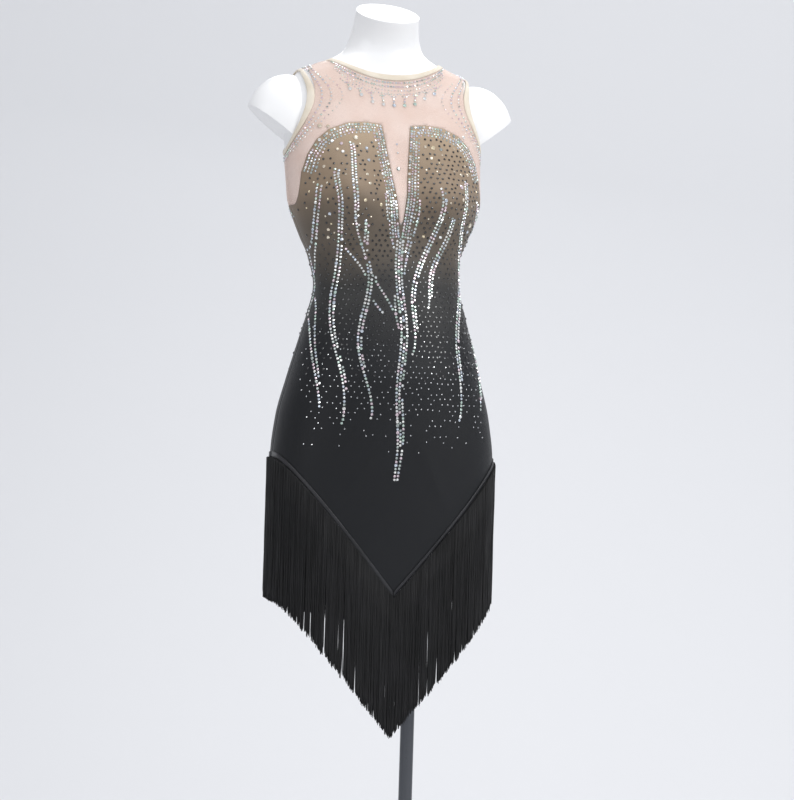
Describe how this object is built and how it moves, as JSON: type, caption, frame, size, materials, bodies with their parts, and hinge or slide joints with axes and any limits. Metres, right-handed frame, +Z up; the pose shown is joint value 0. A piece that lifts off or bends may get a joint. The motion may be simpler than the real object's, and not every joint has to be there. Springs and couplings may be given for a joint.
{
  "type": "fringed salsa dance dress on a limbless dress form",
  "caption": "Sleeveless ombre salsa dress with a sheer nude yoke, crystals and a pointed black fringe hem, on a white limbless dress form.",
  "frame": {"origin": "centre of the base plate's underside, on the pole's axis", "axes": "+X is the dress's left, +Y its back, +Z up along the pole"},
  "size_m": [0.4486, 0.36, 1.4731],
  "materials": {
    "nude_mesh": "sheer nude stretch mesh",
    "ombre_lycra": "stretch lycra shading from taupe to black",
    "binding": "ivory stretch binding",
    "header_satin": "black satin tape",
    "fringe_black": "matt black chainette fringe",
    "form_white": "white satin gloss shell",
    "pole_steel": "dark polished steel",
    "base_steel": "brushed steel",
    "crystal": "faceted flat-back stones"
  },
  "bodies": {
    "root": {"front_yoke": "nude_mesh", "back_yoke": "nude_mesh", "front_body": "ombre_lycra", "back_body": "ombre_lycra", "neck_binding": "binding", "armhole_binding_left": "binding", "armhole_binding_right": "binding", "keyhole_binding": "binding", "neck_button": "binding", "dress_form": "form_white", "form_flange": "pole_steel", "pole": "pole_steel", "base_hub": "base_steel", "base_plate": "base_steel", "front_header_left": "header_satin", "front_fringe_left": "fringe_black", "front_header_right": "header_satin", "front_fringe_right": "fringe_black", "back_header_left": "header_satin", "back_fringe_left": "fringe_black", "back_header_right": "header_satin", "back_fringe_right": "fringe_black"}
  },
  "joints": []
}
